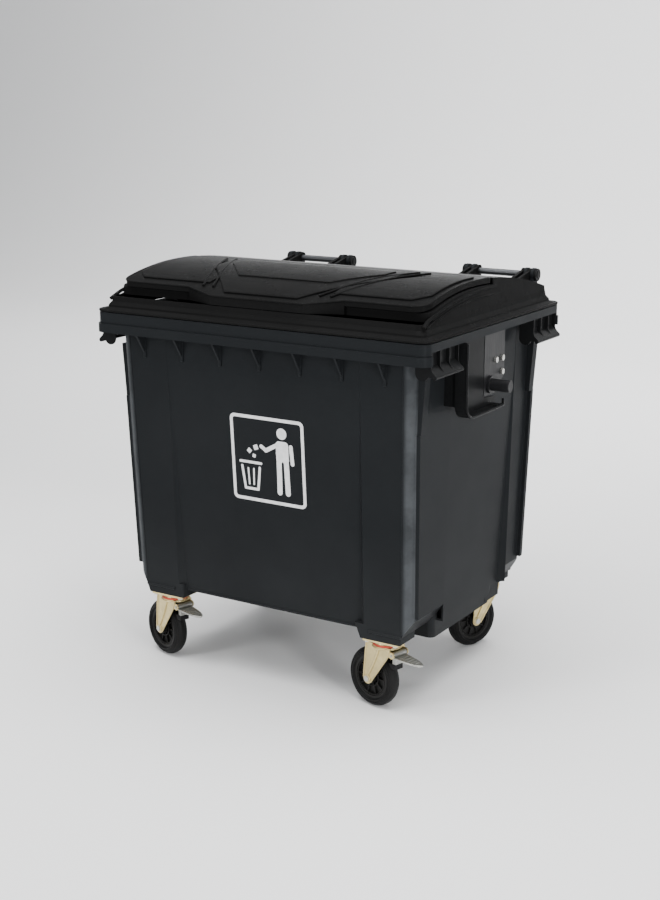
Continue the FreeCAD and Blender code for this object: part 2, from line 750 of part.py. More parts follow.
def lid_lugs():
    """Lugs on the lid that hold the flap's hinge pin."""
    axis_z = flap_axis()
    lugs = []
    for x in lug_starts():
        end = x + lug_thickness
        lugs.append(rod(v(x, flap_pin_y, axis_z), v(end, flap_pin_y, axis_z), flap_knuckle_radius - 1))
        lugs.append(box(x, end, flap_pin_y - lug_foot_front, flap_pin_y + lug_foot_back, axis_z - 14, axis_z))
    return lugs


def lid_shell():
    opening = box(-opening_half, opening_half, -opening_front, opening_back, seam, crest_z + 50)
    shell = lid_form(0).cut(lid_form(lid_wall))
    arms = fused(lid_hinge_arms()).cut(lid_form(lid_wall))
    shell = shell.cut(opening).fuse(arms).fuse(fused(lid_lugs()))
    for hole in hinge_bores(hinge_rod_radius + running):
        shell = shell.cut(hole)
    return shell.cut(flap_pin_bar(0)).removeSplitter()


def flap_pin_bar(gap):
    starts = lug_starts()
    left = starts[0]
    right = starts[-1] + lug_thickness
    return rod(v(left, flap_pin_y, flap_axis()), v(right, flap_pin_y, flap_axis()), flap_pin_radius + gap)


def flap_outline(inset, z):
    """Plan of the flap with its grip in the middle of the front edge."""
    x, back, front = flap_half - inset, flap_back - inset, -flap_front + inset
    slant = (grip_root_half - grip_half) / (grip_front - flap_front)
    shrink = inset * (math.sqrt(1 + slant * slant) - slant)
    points = ((-x, front), (-grip_root_half + shrink, front), (-grip_half + shrink, -grip_front + inset),
              (grip_half - shrink, -grip_front + inset), (grip_root_half - shrink, front), (x, front),
              (x, back), (-x, back))
    radii = (flap_corner - inset, 0, 12, 12, 0, flap_corner - inset, 8, 8)
    return rounded_wire(points, radii, z)


def flap():
    """Thin domed flap with a turned-down edge and a deeper grip at the front."""
    low = seam
    column = prism(flap_outline(0, low), 300)
    hollow = prism(flap_outline(flap_wall, low), 300)
    top = under_dome(0, -half_d, flap_back + 5, low, half_w)
    skirt_floor = under_dome(flap_skirt, -half_d - 10, flap_back + 15, low, half_w + 10)
    under_skin = under_dome(flap_wall, -half_d - 10, flap_back + 15, low - 10, half_w + 10)
    grip_low = crest_z - dome_front_radius + math.sqrt(dome_front_radius ** 2 - (grip_front + crest_y) ** 2)
    grip_space = box(-grip_root_half, grip_root_half, -far, -flap_front + flap_wall, grip_low - grip_height, far)
    edge_band = column.common(top).cut(skirt_floor)
    grip_block = column.common(top).common(grip_space)
    body = edge_band.fuse(grip_block).cut(hollow.common(under_skin))
    skin = column.common(top).cut(under_skin)
    pieces = [body.fuse(skin)]
    axis_z = flap_axis()
    for start in knuckle_starts():
        end = start + flap_knuckle_length
        pieces.append(rod(v(start, flap_pin_y, axis_z), v(end, flap_pin_y, axis_z), flap_knuckle_radius))
    notch = []
    for x in lug_starts():
        x0, x1 = x - lug_clearance, x + lug_thickness + lug_clearance
        notch.append(rod(v(x0, flap_pin_y, axis_z), v(x1, flap_pin_y, axis_z), flap_knuckle_radius + 0.6))
        notch.append(box(x0, x1, flap_pin_y, flap_back + 1, seam, axis_z + 5))
    whole = fused(pieces).cut(notch[0].multiFuse(notch[1:]))
    return whole.cut(flap_pin_bar(running))


def hinge_rod(side):
    x = side * hinge_middle
    reach = hinge_rod_length / 2 + 4
    return rod(v(x - reach, hinge_y, hinge_z), v(x + reach, hinge_y, hinge_z), hinge_rod_radius)


# ---- casters ----

def place_caster(shape, sx, sy, heading):
    """Turns a shape drawn round the swivel axis to its heading and sets it under its corner."""
    placed = shape.copy()
    placed.rotate(v(0, 0, 0), v(0, 0, 1), heading)
    placed.translate(v(sx * caster_x, sy * caster_y, 0))
    return placed


def caster_plate(sx, sy):
    """Top plate with the upper ball race, fixed to the tub."""
    px, py = caster_plate_x / 2, caster_plate_y / 2
    plate = prism(rectangle_wire(-px, px, -py, py, 10, plate_bottom), caster_plate_thickness)
    race = Part.makeCone(race_radius, race_radius - 4, race_height, v(0, 0, race_bottom))
    holes = [rod(v(0, 0, race_bottom - 1), v(0, 0, plate_top + 1), axle_radius)]
    for dx in (-caster_hole_x / 2, caster_hole_x / 2):
        for dy in (-caster_hole_y / 2, caster_hole_y / 2):
            holes.append(rod(v(dx, dy, plate_bottom - 1), v(dx, dy, plate_top + 1), caster_bolt_radius))
    return place_caster(plate.fuse(race).cut(holes[0].multiFuse(holes[1:])), sx, sy, 0)


def kingpin():
    """Swivel bolt with its nut under the fork's crown."""
    return hexagon_bolt(v(0, 0, crown_bottom - 1), v(0, 0, 1), plate_top - crown_bottom - 1, axle_radius, 7.0)


def seal_ring():
    low = crown_top
    ring = Part.makeTorus(race_radius, seal_height / 2, v(0, 0, low + seal_height / 2))
    return ring.fuse(tube(v(0, 0, low), v(0, 0, low + seal_height), race_radius + 1.5, race_radius - 4))


def fork_leg_wire(y):
    """Side view of a fork leg: wide at the crown, round at the axle."""
    ax, az = -caster_trail, wheel_radius
    back_top = v(-62, y, crown_top)
    front_top = v(44, y, crown_top)
    front_low = v(44, y, crown_bottom - 14)
    back_low = v(ax - fork_eye, y, az)
    eye_low = v(ax, y, az - fork_eye)
    eye_front = v(ax + fork_eye * math.cos(math.radians(40)), y, az - fork_eye * math.sin(math.radians(40)))
    eye_back = v(ax - fork_eye * math.cos(math.radians(45)), y, az - fork_eye * math.sin(math.radians(45)))
    eye_mid = v(ax + fork_eye * math.cos(math.radians(65)), y, az - fork_eye * math.sin(math.radians(65)))
    edges = [Part.LineSegment(back_top, front_top).toShape(), Part.LineSegment(front_top, front_low).toShape(),
             Part.LineSegment(front_low, eye_front).toShape(), Part.Arc(eye_front, eye_mid, eye_low).toShape(),
             Part.Arc(eye_low, eye_back, back_low).toShape(), Part.LineSegment(back_low, back_top).toShape()]
    return Part.Wire(edges)


def fork(with_brake):
    """Pressed crown and two legs, drawn with the wheel trailing behind the swivel axis."""
    outer = fork_inner + fork_wall
    crown = fused([rod(v(0, 0, crown_bottom), v(0, 0, crown_top), race_radius + 4),
                   box(-62, 44, -outer, outer, crown_bottom, crown_top)])
    legs = []
    for y in (-outer, fork_inner):
        legs.append(Part.Face(fork_leg_wire(y)).extrude(v(0, fork_wall, 0)))
        if with_brake:
            legs.append(rod(v(pedal_pivot_x, y, pedal_pivot_z), v(pedal_pivot_x, y + fork_wall, pedal_pivot_z), 11))
            legs.append(box(38, pedal_pivot_x, y, y + fork_wall, pedal_pivot_z - 9, pedal_pivot_z + 11))
    ax, az = -caster_trail, wheel_radius
    for y0, y1 in ((-outer, -fork_inner), (fork_inner, outer)):
        legs.append(rod(v(ax, y0, az), v(ax, y1, az), fork_eye - 2))
    holes = [rod(v(0, 0, crown_bottom - 1), v(0, 0, crown_top + 1), axle_radius + running),
             rod(v(ax, -far, az), v(ax, far, az), axle_radius)]
    if with_brake:
        holes.append(rod(v(pedal_pivot_x, -far, pedal_pivot_z), v(pedal_pivot_x, far, pedal_pivot_z),
                         pedal_pin_radius + running))
    return fused([crown] + legs).cut(holes[0].multiFuse(holes[1:]))


def axle_bolt():
    """Bolt and nut that clamp the fork legs to the axle."""
    outer = fork_inner + fork_wall
    ax, az = -caster_trail, wheel_radius
    bolt = hexagon_bolt(v(ax, -outer, az), v(0, 1, 0), 2 * outer + 9, axle_radius, 7.0)
    nut = hexagon_bolt(v(ax, outer, az), v(0, -1, 0), 1.0, axle_radius, 8.0)
    nut_ring = nut.common(box(-far, far, outer, far, 0, far)).cut(rod(v(ax, -far, az), v(ax, far, az), axle_radius))
    return Part.makeCompound([bolt, nut_ring])


def spun(points, ax, az):
    """Solid turned about the axle from points of radius and place across the wheel."""
    corners = [v(ax, y, az + r) for r, y in points]
    face = Part.Face(Part.makePolygon(corners + corners[:1]))
    return face.revolve(v(ax, 0, az), v(0, 1, 0), 360)


def wheel_bearing():
    ax, az = -caster_trail, wheel_radius
    half = hub_boss_width / 2
    return tube(v(ax, -half, az), v(ax, half, az), bearing_radius, axle_radius + running)


def wheel_hub():
    """Moulded hub: boss, dished web and the rim that the tyre sits on."""
    ax, az = -caster_trail, wheel_radius
    seat = wheel_radius - tyre_depth
    half = hub_boss_width / 2
    points = ((hub_bore_radius, -half), (hub_boss_radius, -half), (hub_boss_radius, -7), (seat - 13, -7),
              (seat - 9, -19), (seat, -19), (seat, 19), (seat - 9, 19), (seat - 13, 7), (hub_boss_radius, 7),
              (hub_boss_radius, half), (hub_bore_radius, half))
    return spun(points, ax, az)


def tyre():
    """Solid rubber tyre with rounded shoulders and stepped side walls."""
    ax, az = -caster_trail, wheel_radius
    half = tyre_width / 2
    seat = wheel_radius - tyre_depth
    points = ((seat, -half + 5), (seat + 5, -half + 1), (seat + 11, -half + 1), (seat + 12, -half + 3),
              (seat + 16, -half + 3), (seat + 19, -half + 6), (wheel_radius - 2, -half + 13),
              (wheel_radius, -half + 19))
    outline = list(points) + [(r, -y) for r, y in reversed(points)]
    return spun(outline, ax, az)


def brake_pedal():
    """Lever on a pin between the fork's ears, with a tapering tread and a shoe over the tyre."""
    pin = rod(v(pedal_pivot_x, -fork_inner - fork_wall - 2, pedal_pivot_z),
              v(pedal_pivot_x, fork_inner + fork_wall + 2, pedal_pivot_z), pedal_pin_radius)
    boss = rod(v(pedal_pivot_x, -fork_inner + 1, pedal_pivot_z), v(pedal_pivot_x, fork_inner - 1, pedal_pivot_z), 9)
    low = pedal_pivot_z - 6
    outline = ((pedal_pivot_x, -28), (pedal_pivot_x + 55, -24), (pedal_reach - 10, -12), (pedal_reach, 0),
               (pedal_reach - 10, 12), (pedal_pivot_x + 55, 24), (pedal_pivot_x, 28))
    tread = prism(rounded_wire(outline, (0, 10, 8, 6, 8, 10, 0), low - 6), 5)
    tread.rotate(v(pedal_pivot_x, 0, pedal_pivot_z), v(0, 1, 0), 3)
    arm = box(pedal_pivot_x - 12, pedal_pivot_x + 2, -16, 16, low - 30, pedal_pivot_z)
    return pin, fused([boss, tread, arm])


def brake_shoe():
    """Rubber block that the lever presses on the tyre."""
    block = box(pedal_pivot_x - 34, pedal_pivot_x + 2, -18, 18, pedal_pivot_z - 54, pedal_pivot_z - 36)
    clear = rod(v(-caster_trail, -far, wheel_radius), v(-caster_trail, far, wheel_radius), wheel_radius + shoe_gap)
    return block.cut(clear)


def casters():
    """Every piece of the four casters; only the front two have a brake."""
    for side_name, sx in sides.items():
        for end_name, sy in ends.items():
            corner = end_name + "_" + side_name
            turn = headings[corner]
            write("caster_plate_" + corner, caster_plate(sx, sy))
            write("swivel_bolt_" + corner, place_caster(kingpin(), sx, sy, turn))
            write("seal_ring_" + corner, place_caster(seal_ring(), sx, sy, turn))
            write("fork_" + corner, place_caster(fork(corner in braked), sx, sy, turn))
            write("axle_bolt_" + corner, place_caster(axle_bolt(), sx, sy, turn))
            write("wheel_bearing_" + corner, place_caster(wheel_bearing(), sx, sy, turn))
            write("wheel_hub_" + corner, place_caster(wheel_hub(), sx, sy, turn))
            write("tyre_" + corner, place_caster(tyre(), sx, sy, turn))
            if corner in braked:
                pin, lever = brake_pedal()
                write("brake_pedal_" + corner, place_caster(pin.fuse(lever), sx, sy, turn))
                write("brake_shoe_" + corner, place_caster(brake_shoe(), sx, sy, turn))


def caster_bolts():
    bolts = []
    for x, y in caster_bolt_places():
        bolts.append(hexagon_bolt(v(x, y, plate_bottom), v(0, 0, 1), 24.0, caster_bolt_radius, 6.0))
    return Part.makeCompound(bolts)


def drain_plug():
    plug = rod(v(0, 0, keel_bottom), v(0, 0, keel_bottom + wall + 4), drain_radius)
    head = rod(v(0, 0, keel_bottom - 6), v(0, 0, keel_bottom), drain_radius + 8)
    return plug.fuse(head)


# ---- pictogram ----

def flat_bar(x0, y0, x1, y1, width):
    """A bar with round ends, lying flat."""
    start, end = v(x0, y0, 0), v(x1, y1, 0)
    way = end - start
    half = v(-way.y, way.x, 0).normalize() * (width / 2)
    corners = [start + half, start - half, end - half, end + half]
    slab = Part.Face(Part.makePolygon(corners + corners[:1])).extrude(v(0, 0, sign_film))
    caps = [Part.makeCylinder(width / 2, sign_film, place) for place in (start, end)]
    return slab.multiFuse(caps).removeSplitter()


def flat_scrap(x, y, size, turn):
    """A square scrap of paper, turned in its plane."""
    scrap = prism(rectangle_wire(-size / 2, size / 2, -size / 2, size / 2, 1.5, 0), sign_film)
    scrap.rotate(v(0, 0, 0), v(0, 0, 1), turn)
    scrap.translate(v(x, y, 0))
    return scrap


def sign_print():
    """White frame with a standing figure, a slatted bin and three scraps of paper falling into it."""
    hx, hy, line = sign_width / 2, sign_height / 2, sign_line
    outer = prism(rectangle_wire(-hx, hx, -hy, hy, sign_corner, 0), sign_film)
    inner = prism(rectangle_wire(-hx + line, hx - line, -hy + line, hy - line, sign_corner - line + 2, 0), sign_film)
    head = Part.makeCylinder(19, sign_film, v(58, 98, 0))
    figure = fused([flat_bar(46, 58, 46, 8, 24), flat_bar(70, 58, 70, 8, 24), flat_bar(46, 60, 70, 60, 24),
                    flat_bar(44, 0, 42, -104, 19), flat_bar(72, 0, 74, -104, 19), flat_bar(46, 30, 70, 12, 26),
                    flat_bar(92, 58, 96, 0, 14), flat_bar(42, 60, -6, 34, 14), flat_bar(-6, 34, -24, 46, 13)])
    bin_sides = fused([flat_bar(-104, -30, -94, -106, 9), flat_bar(-94, -106, -44, -106, 9),
                       flat_bar(-44, -106, -34, -30, 9)])
    bin_rim = flat_bar(-110, -14, -28, -14, 9)
    slats = [flat_bar(-80, -36, -78, -90, 6), flat_bar(-58, -36, -60, -90, 6)]
    scraps = [flat_scrap(-46, 40, 17, 20), flat_scrap(-72, 26, 15, 50), flat_scrap(-54, 10, 12, 75)]
    print_flat = Part.makeCompound([outer.cut(inner), head, figure, bin_sides, bin_rim] + slats + scraps)
    fade = (crease_top - sign_z) / (crease_top - base_height)
    deep = crease_start + (panel_recess - crease_start) * fade
    slope = (front_taper / (rim_top - base_height)
             + (panel_recess - crease_start) / (crease_top - base_height))
    print_flat.rotate(v(0, 0, 0), v(1, 0, 0), 90 + math.degrees(math.atan(slope)))
    wall_face = wall_place(sign_z, half_d - front_overhang, front_taper) - deep
    print_flat.translate(v(sign_x, -wall_face, sign_z))
    return print_flat


os.makedirs("parts", exist_ok=True)
write("tub", tub())
write("lid_shell", lid_shell())
write("flap", flap())
write("flap_hinge_pin", flap_pin_bar(0))
write("drain_plug", drain_plug())
write("sign_print", sign_print())
write("trunnion_bolts", trunnion_bolts())
write("caster_bolts", caster_bolts())
for side_name, side in sides.items():
    write("hinge_rod_" + side_name, hinge_rod(side))
    write("trunnion_pin_" + side_name, trunnion_pin(side))
    write("trunnion_plate_" + side_name, trunnion_plate(side))
    write("trunnion_guard_" + side_name, guard(side))
    for end_name, end in ends.items():
        write("handle_%s_%s" % (end_name, side_name), handle(side, end))
casters()
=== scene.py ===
import json
import math

import bmesh
import bpy
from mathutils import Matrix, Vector


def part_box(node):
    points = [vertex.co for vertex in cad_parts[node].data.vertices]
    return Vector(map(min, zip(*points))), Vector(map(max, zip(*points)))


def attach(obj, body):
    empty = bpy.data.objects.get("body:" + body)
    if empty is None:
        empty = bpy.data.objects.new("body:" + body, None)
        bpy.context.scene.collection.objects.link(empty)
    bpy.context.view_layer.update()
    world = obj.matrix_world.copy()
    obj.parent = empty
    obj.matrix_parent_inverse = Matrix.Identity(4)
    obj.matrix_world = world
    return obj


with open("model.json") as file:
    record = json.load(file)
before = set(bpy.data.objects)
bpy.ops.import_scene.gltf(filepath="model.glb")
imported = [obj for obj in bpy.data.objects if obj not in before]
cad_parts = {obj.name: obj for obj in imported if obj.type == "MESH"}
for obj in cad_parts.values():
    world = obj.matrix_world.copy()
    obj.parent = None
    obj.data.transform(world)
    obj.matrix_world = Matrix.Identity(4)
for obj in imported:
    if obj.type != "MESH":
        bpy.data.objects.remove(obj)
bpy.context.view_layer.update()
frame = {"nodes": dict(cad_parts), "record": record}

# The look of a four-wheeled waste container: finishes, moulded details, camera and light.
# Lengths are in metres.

# ---- places taken from the frame ----
nodes = frame["nodes"]
plate_front_low, plate_front_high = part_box("caster_plate_front_right")
plate_rear_low, plate_rear_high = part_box("caster_plate_rear_right")
mid_y = (plate_front_low.y + plate_front_high.y + plate_rear_low.y + plate_rear_high.y) / 4
CORNERS = ("front_left", "front_right", "rear_left", "rear_right")

# ---- measures of the tub, the flap and the wheels ----
RIM_TOP = 1.248
WALL_HEIGHT = 0.974
SIDE_WALL_TOP, SIDE_WALL_DRAFT = 0.566, 0.018
END_WALL_TOP, END_WALL_DRAFT = 0.4495, 0.042
CORNER_LINE_TOP = 1.170
GUSSET_COUNT, GUSSET_PITCH = 7, 0.155
FLAP_CREST, FLAP_CREST_Y = 1.392, -0.090
FLAP_RADIUS_FRONT, FLAP_RADIUS_BACK = 1.163, 1.880
GUARD_EDGE_X = 0.6425
AXLE_BACK, AXLE_HEIGHT = -0.055, 0.100
SPOKE_COUNT = 10


# ---- finishes ----

def new_finish(name):
    """An empty node material with its shader and a texture coordinate node."""
    finish = bpy.data.materials.new(name)
    finish.use_nodes = True
    tree = finish.node_tree
    tree.nodes.clear()
    output = tree.nodes.new("ShaderNodeOutputMaterial")
    shader = tree.nodes.new("ShaderNodeBsdfPrincipled")
    tree.links.new(shader.outputs["BSDF"], output.inputs["Surface"])
    place = tree.nodes.new("ShaderNodeTexCoord").outputs["Object"]
    return finish, tree, shader, place


def noise(tree, place, scale, detail=3.0, roughness=0.5, stretch=None):
    """Noise over the piece, pulled out along an axis where stretch says so."""
    if stretch is not None:
        mapping = tree.nodes.new("ShaderNodeMapping")
        mapping.inputs["Scale"].default_value = stretch
        tree.links.new(place, mapping.inputs["Vector"])
        place = mapping.outputs["Vector"]
    texture = tree.nodes.new("ShaderNodeTexNoise")
    texture.inputs["Scale"].default_value = scale
    texture.inputs["Detail"].default_value = detail
    texture.inputs["Roughness"].default_value = roughness
    tree.links.new(place, texture.inputs["Vector"])
    return texture.outputs["Fac"]


def ramp(tree, value, stops):
    """Turns a value into a colour through the stops of a ramp."""
    node = tree.nodes.new("ShaderNodeValToRGB")
    elements = node.color_ramp.elements
    while len(elements) > 1:
        elements.remove(elements[-1])
    elements[0].position = stops[0][0]
    elements[0].color = stops[0][1]
    for place, colour in stops[1:]:
        element = elements.new(place)
        element.color = colour
    tree.links.new(value, node.inputs["Fac"])
    return node.outputs["Color"]


def span(tree, value, low, high, from_low=0.3, from_high=0.7):
    """Maps a value onto a range."""
    node = tree.nodes.new("ShaderNodeMapRange")
    node.inputs["From Min"].default_value = from_low
    node.inputs["From Max"].default_value = from_high
    node.inputs["To Min"].default_value = low
    node.inputs["To Max"].default_value = high
    tree.links.new(value, node.inputs["Value"])
    return node.outputs["Result"]


def blend_colours(tree, share, first, second):
    """Mixes two colours, each a constant or the output of another node."""
    node = tree.nodes.new("ShaderNodeMix")
    node.data_type = "RGBA"
    share_socket, first_socket, second_socket = node.inputs[0], node.inputs[6], node.inputs[7]
    for source, socket in ((share, share_socket), (first, first_socket), (second, second_socket)):
        if isinstance(source, bpy.types.NodeSocket):
            tree.links.new(source, socket)
        else:
            socket.default_value = source
    return node.outputs[2]


def math_node(tree, operation, first, second):
    """One sum on values or on the outputs of other nodes."""
    node = tree.nodes.new("ShaderNodeMath")
    node.operation = operation
    for socket, value in zip(node.inputs, (first, second)):
        if isinstance(value, (int, float)):
            socket.default_value = value
        elif value is not None:
            tree.links.new(value, socket)
    return node.outputs[0]


def bump(tree, shader, height, strength, distance):
    """Raises the surface's shading by a height."""
    node = tree.nodes.new("ShaderNodeBump")
    node.inputs["Strength"].default_value = strength
    node.inputs["Distance"].default_value = distance
    tree.links.new(height, node.inputs["Height"])
    tree.links.new(node.outputs["Normal"], shader.inputs["Normal"])


def grey(level, blue=1.0):
    """A grey of a given level, leaning to blue where blue is over 1."""
    return (level, level * (1 + (blue - 1) * 0.5), level * blue, 1.0)


def moulded_plastic(name, level, blue, gloss_low, gloss_high, grain, dust, gleam):
    """Coloured plastic from a mould: cloudy shade, fine grain, faint scuffs and dust near the ground."""
    finish, tree, shader, place = new_finish(name)
    cloud = noise(tree, place, 2.2, 4.0, 0.6)
    shade = ramp(tree, cloud, ((0.25, grey(level * 0.86, blue)), (0.55, grey(level, blue)),
                               (0.8, grey(level * 1.14, blue))))
    speck = noise(tree, place, 420.0, 2.0, 0.6)
    speck_share = span(tree, speck, 0.0, 0.18, 0.55, 0.8)
    shade = blend_colours(tree, speck_share, shade, grey(level * 2.2, blue))
    scuff = noise(tree, place, 9.0, 6.0, 0.75, (1.0, 1.0, 5.5))
    scuff_share = span(tree, scuff, 0.0, 0.22, 0.63, 0.8)
    shade = blend_colours(tree, scuff_share, shade, grey(level * 2.6, blue))
    split = tree.nodes.new("ShaderNodeSeparateXYZ")
    tree.links.new(place, split.inputs["Vector"])
    low_down = span(tree, split.outputs["Z"], dust, 0.0, 0.22, 0.62)
    dust_colour = (0.30, 0.29, 0.27, 1.0)
    shade = blend_colours(tree, math_node(tree, "MULTIPLY", low_down, cloud), shade, dust_colour)
    tree.links.new(shade, shader.inputs["Base Color"])
    gloss = noise(tree, place, 5.0, 5.0, 0.6)
    tree.links.new(span(tree, gloss, gloss_low, gloss_high), shader.inputs["Roughness"])
    shader.inputs["Specular IOR Level"].default_value = gleam
    bump(tree, shader, noise(tree, place, 620.0, 2.0, 0.5), grain, 0.0006)
    return finish


def paint_corner_highlights(finish, level):
    """Painted highlight: paler colour painted along the tub's four upright corners, standing in for a
    lamp's glint on the rounded corners.
    """
    tree = finish.node_tree
    shader = next(n for n in tree.nodes if n.type == "BSDF_PRINCIPLED")
    place = next(n for n in tree.nodes if n.type == "TEX_COORD").outputs["Object"]
    split = tree.nodes.new("ShaderNodeSeparateXYZ")
    tree.links.new(place, split.inputs["Vector"])
    across = math_node(tree, "ABSOLUTE", split.outputs["X"], None)
    along = math_node(tree, "ABSOLUTE", math_node(tree, "SUBTRACT", split.outputs["Y"], mid_y), None)
    corner_slope, corner_from, corner_to = 0.0616, 0.9036, 0.9146
    side_slope, side_from, side_to = 0.0185, 0.5440, 0.5460
    rim_from, rim_to = 1.170, 1.182
    draft = math_node(tree, "MULTIPLY", split.outputs["Z"], corner_slope)
    reach = math_node(tree, "SUBTRACT", math_node(tree, "ADD", across, along), draft)
    corner = span(tree, reach, 0.0, 1.0, corner_from, corner_to)
    side = math_node(tree, "SUBTRACT", across, math_node(tree, "MULTIPLY", split.outputs["Z"], side_slope))
    on_wall = span(tree, side, 1.0, 0.0, side_from, side_to)
    patches = span(tree, noise(tree, place, 6.0, 4.0, 0.7), 0.45, 1.0, 0.35, 0.6)
    under_rim = span(tree, split.outputs["Z"], 1.0, 0.0, rim_from, rim_to)
    share = math_node(tree, "MULTIPLY", math_node(tree, "MULTIPLY", corner, on_wall),
                      math_node(tree, "MULTIPLY", patches, under_rim))
    # Mix the paler painted highlight colour into the tub's colour along the corners.
    plain = shader.inputs["Base Color"].links[0].from_socket
    tree.links.new(blend_colours(tree, share, plain, grey(level, 1.15)), shader.inputs["Base Color"])


def coated_metal(name, colour, worn, rough_low, rough_high, metallic, grain=0.25):
    """Plated or painted steel with cloudy plating, fine drawn lines and worn spots."""
    finish, tree, shader, place = new_finish(name)
    cloud = noise(tree, place, 30.0, 5.0, 0.65)
    shade = ramp(tree, cloud, ((0.3, tuple(c * 0.8 for c in colour[:3]) + (1.0,)), (0.6, colour),
                               (0.85, worn)))
    tree.links.new(shade, shader.inputs["Base Color"])
    lines = noise(tree, place, 160.0, 3.0, 0.6, (1.0, 1.0, 0.12))
    tree.links.new(span(tree, lines, rough_low, rough_high), shader.inputs["Roughness"])
    shader.inputs["Metallic"].default_value = metallic
    bump(tree, shader, lines, grain, 0.0004)
    return finish


def rubber(name):
    """Black tyre rubber, greyer where it has picked up dust."""
    finish, tree, shader, place = new_finish(name)
    cloud = noise(tree, place, 26.0, 5.0, 0.7)
    shade = ramp(tree, cloud, ((0.3, grey(0.006)), (0.62, grey(0.010)), (0.85, grey(0.03, 0.95))))
    tree.links.new(shade, shader.inputs["Base Color"])
    shader.inputs["Specular IOR Level"].default_value = 0.12
    tree.links.new(span(tree, cloud, 0.42, 0.62), shader.inputs["Roughness"])
    bump(tree, shader, noise(tree, place, 500.0, 2.0, 0.5), 0.25, 0.0004)
    return finish


def printed_white(name):
    """Screen-printed white ink with a faint mottle."""
    finish, tree, shader, place = new_finish(name)
    mottle = noise(tree, place, 60.0, 4.0, 0.6)
    tree.links.new(ramp(tree, mottle, ((0.3, grey(0.62)), (0.7, grey(0.80)))), shader.inputs["Base Color"])
    tree.links.new(span(tree, mottle, 0.38, 0.5), shader.inputs["Roughness"])
    bump(tree, shader, noise(tree, place, 620.0), 0.08, 0.0003)
    return finish


tub_finish = moulded_plastic("tub_plastic", level=0.013, blue=1.20, gloss_low=0.30, gloss_high=0.40,
                             grain=0.22, dust=0.03, gleam=0.022)
fitting_finish = moulded_plastic("fitting_plastic", level=0.009, blue=1.08, gloss_low=0.24,
                                 gloss_high=0.34, grain=0.18, dust=0.02, gleam=0.03)
lid_finish = moulded_plastic("lid_plastic", level=0.009, blue=1.0, gloss_low=0.22, gloss_high=0.32,
                             grain=0.08, dust=0.0, gleam=0.006)
hub_finish = moulded_plastic("hub_plastic", level=0.006, blue=1.0, gloss_low=0.28, gloss_high=0.4,
                             grain=0.18, dust=0.06, gleam=0.12)
zinc_finish = coated_metal("yellow_zinc", colour=(0.64, 0.53, 0.27, 1), worn=(0.80, 0.74, 0.52, 1),
                           rough_low=0.30, rough_high=0.44, metallic=0.85)
bright_finish = coated_metal("bright_zinc", colour=(0.55, 0.55, 0.52, 1), worn=(0.75, 0.74, 0.70, 1),
                             rough_low=0.25, rough_high=0.4, metallic=0.9)
pedal_finish = coated_metal("pedal_zinc", colour=(0.40, 0.40, 0.37, 1), worn=(0.62, 0.61, 0.56, 1),
                            rough_low=0.30, rough_high=0.45, metallic=0.85)
black_finish = coated_metal("black_steel", colour=(0.012, 0.012, 0.013, 1),
                            worn=(0.05, 0.048, 0.045, 1), rough_low=0.34, rough_high=0.48, metallic=0.0)
black_finish.node_tree.nodes["Principled BSDF"].inputs["Specular IOR Level"].default_value = 0.15
rod_finish = coated_metal("hinge_steel", colour=(0.06, 0.062, 0.066, 1), worn=(0.16, 0.16, 0.165, 1),
                          rough_low=0.28, rough_high=0.42, metallic=0.6)
tyre_finish = rubber("tyre_rubber")
print_finish = printed_white("white_print")
# Painted highlight along the tub's upright corners.
paint_corner_highlights(tub_finish, 0.060)


def red_plastic():
    """The red plastic of the seal, faintly mottled."""
    finish, tree, shader, place = new_finish("seal_red")
    cloud = noise(tree, place, 40.0, 4.0, 0.6)
    shade = ramp(tree, cloud, ((0.3, (0.42, 0.035, 0.02, 1)), (0.7, (0.62, 0.07, 0.04, 1))))
    tree.links.new(shade, shader.inputs["Base Color"])
    tree.links.new(span(tree, cloud, 0.38, 0.52), shader.inputs["Roughness"])
    bump(tree, shader, noise(tree, place, 500.0), 0.1, 0.0003)
    return finish


seal_finish = red_plastic()

FINISH_OF_SLOT = {
    "tub_plastic": tub_finish, "fitting_plastic": fitting_finish, "lid_plastic": lid_finish,
    "black_steel": black_finish, "hinge_steel": rod_finish, "bolt_steel": bright_finish,
    "zinc_steel": zinc_finish, "red_seal": seal_finish, "tyre_rubber": tyre_finish,
    "hub_plastic": hub_finish, "pedal_steel": pedal_finish, "sign_print": print_finish,
}


def finish_frame_nodes():
    """Gives every piece of the frame the finish of its material slot."""
    for part in frame["record"]["subparts"]:
        piece = nodes[part["node"]]
        for holder in piece.material_slots:
            holder.material = FINISH_OF_SLOT[part["material_slot"]]


finish_frame_nodes()


# ---- making pieces ----

def clear_selection():
    """Leaves edit mode and deselects everything."""
    if bpy.context.mode != "OBJECT":
        bpy.ops.object.mode_set(mode="OBJECT")
    bpy.ops.object.select_all(action="DESELECT")


def settle(piece):
    """Puts a piece's place and turn into its mesh."""
    clear_selection()
    piece.select_set(True)
    bpy.context.view_layer.objects.active = piece
    bpy.ops.object.transform_apply(location=True, rotation=True, scale=True)
    return piece


def block(name, low, high):
    """A cuboid between two corners."""
    clear_selection()
    middle = [(a + b) / 2 for a, b in zip(low, high)]
    size = [b - a for a, b in zip(low, high)]
    bpy.ops.mesh.primitive_cube_add(size=1.0, location=middle, scale=size)
    piece = bpy.context.object
    piece.name = name
    return settle(piece)


def bar(name, start, end, radius, sides=40):
    """A round bar between two points."""
    clear_selection()
    way = Vector(end) - Vector(start)
    bpy.ops.mesh.primitive_cylinder_add(vertices=sides, radius=radius, depth=way.length,
                                        location=(Vector(start) + Vector(end)) / 2,
                                        rotation=way.to_track_quat("Z", "Y").to_euler())
    piece = bpy.context.object
    piece.name = name
    return settle(piece)


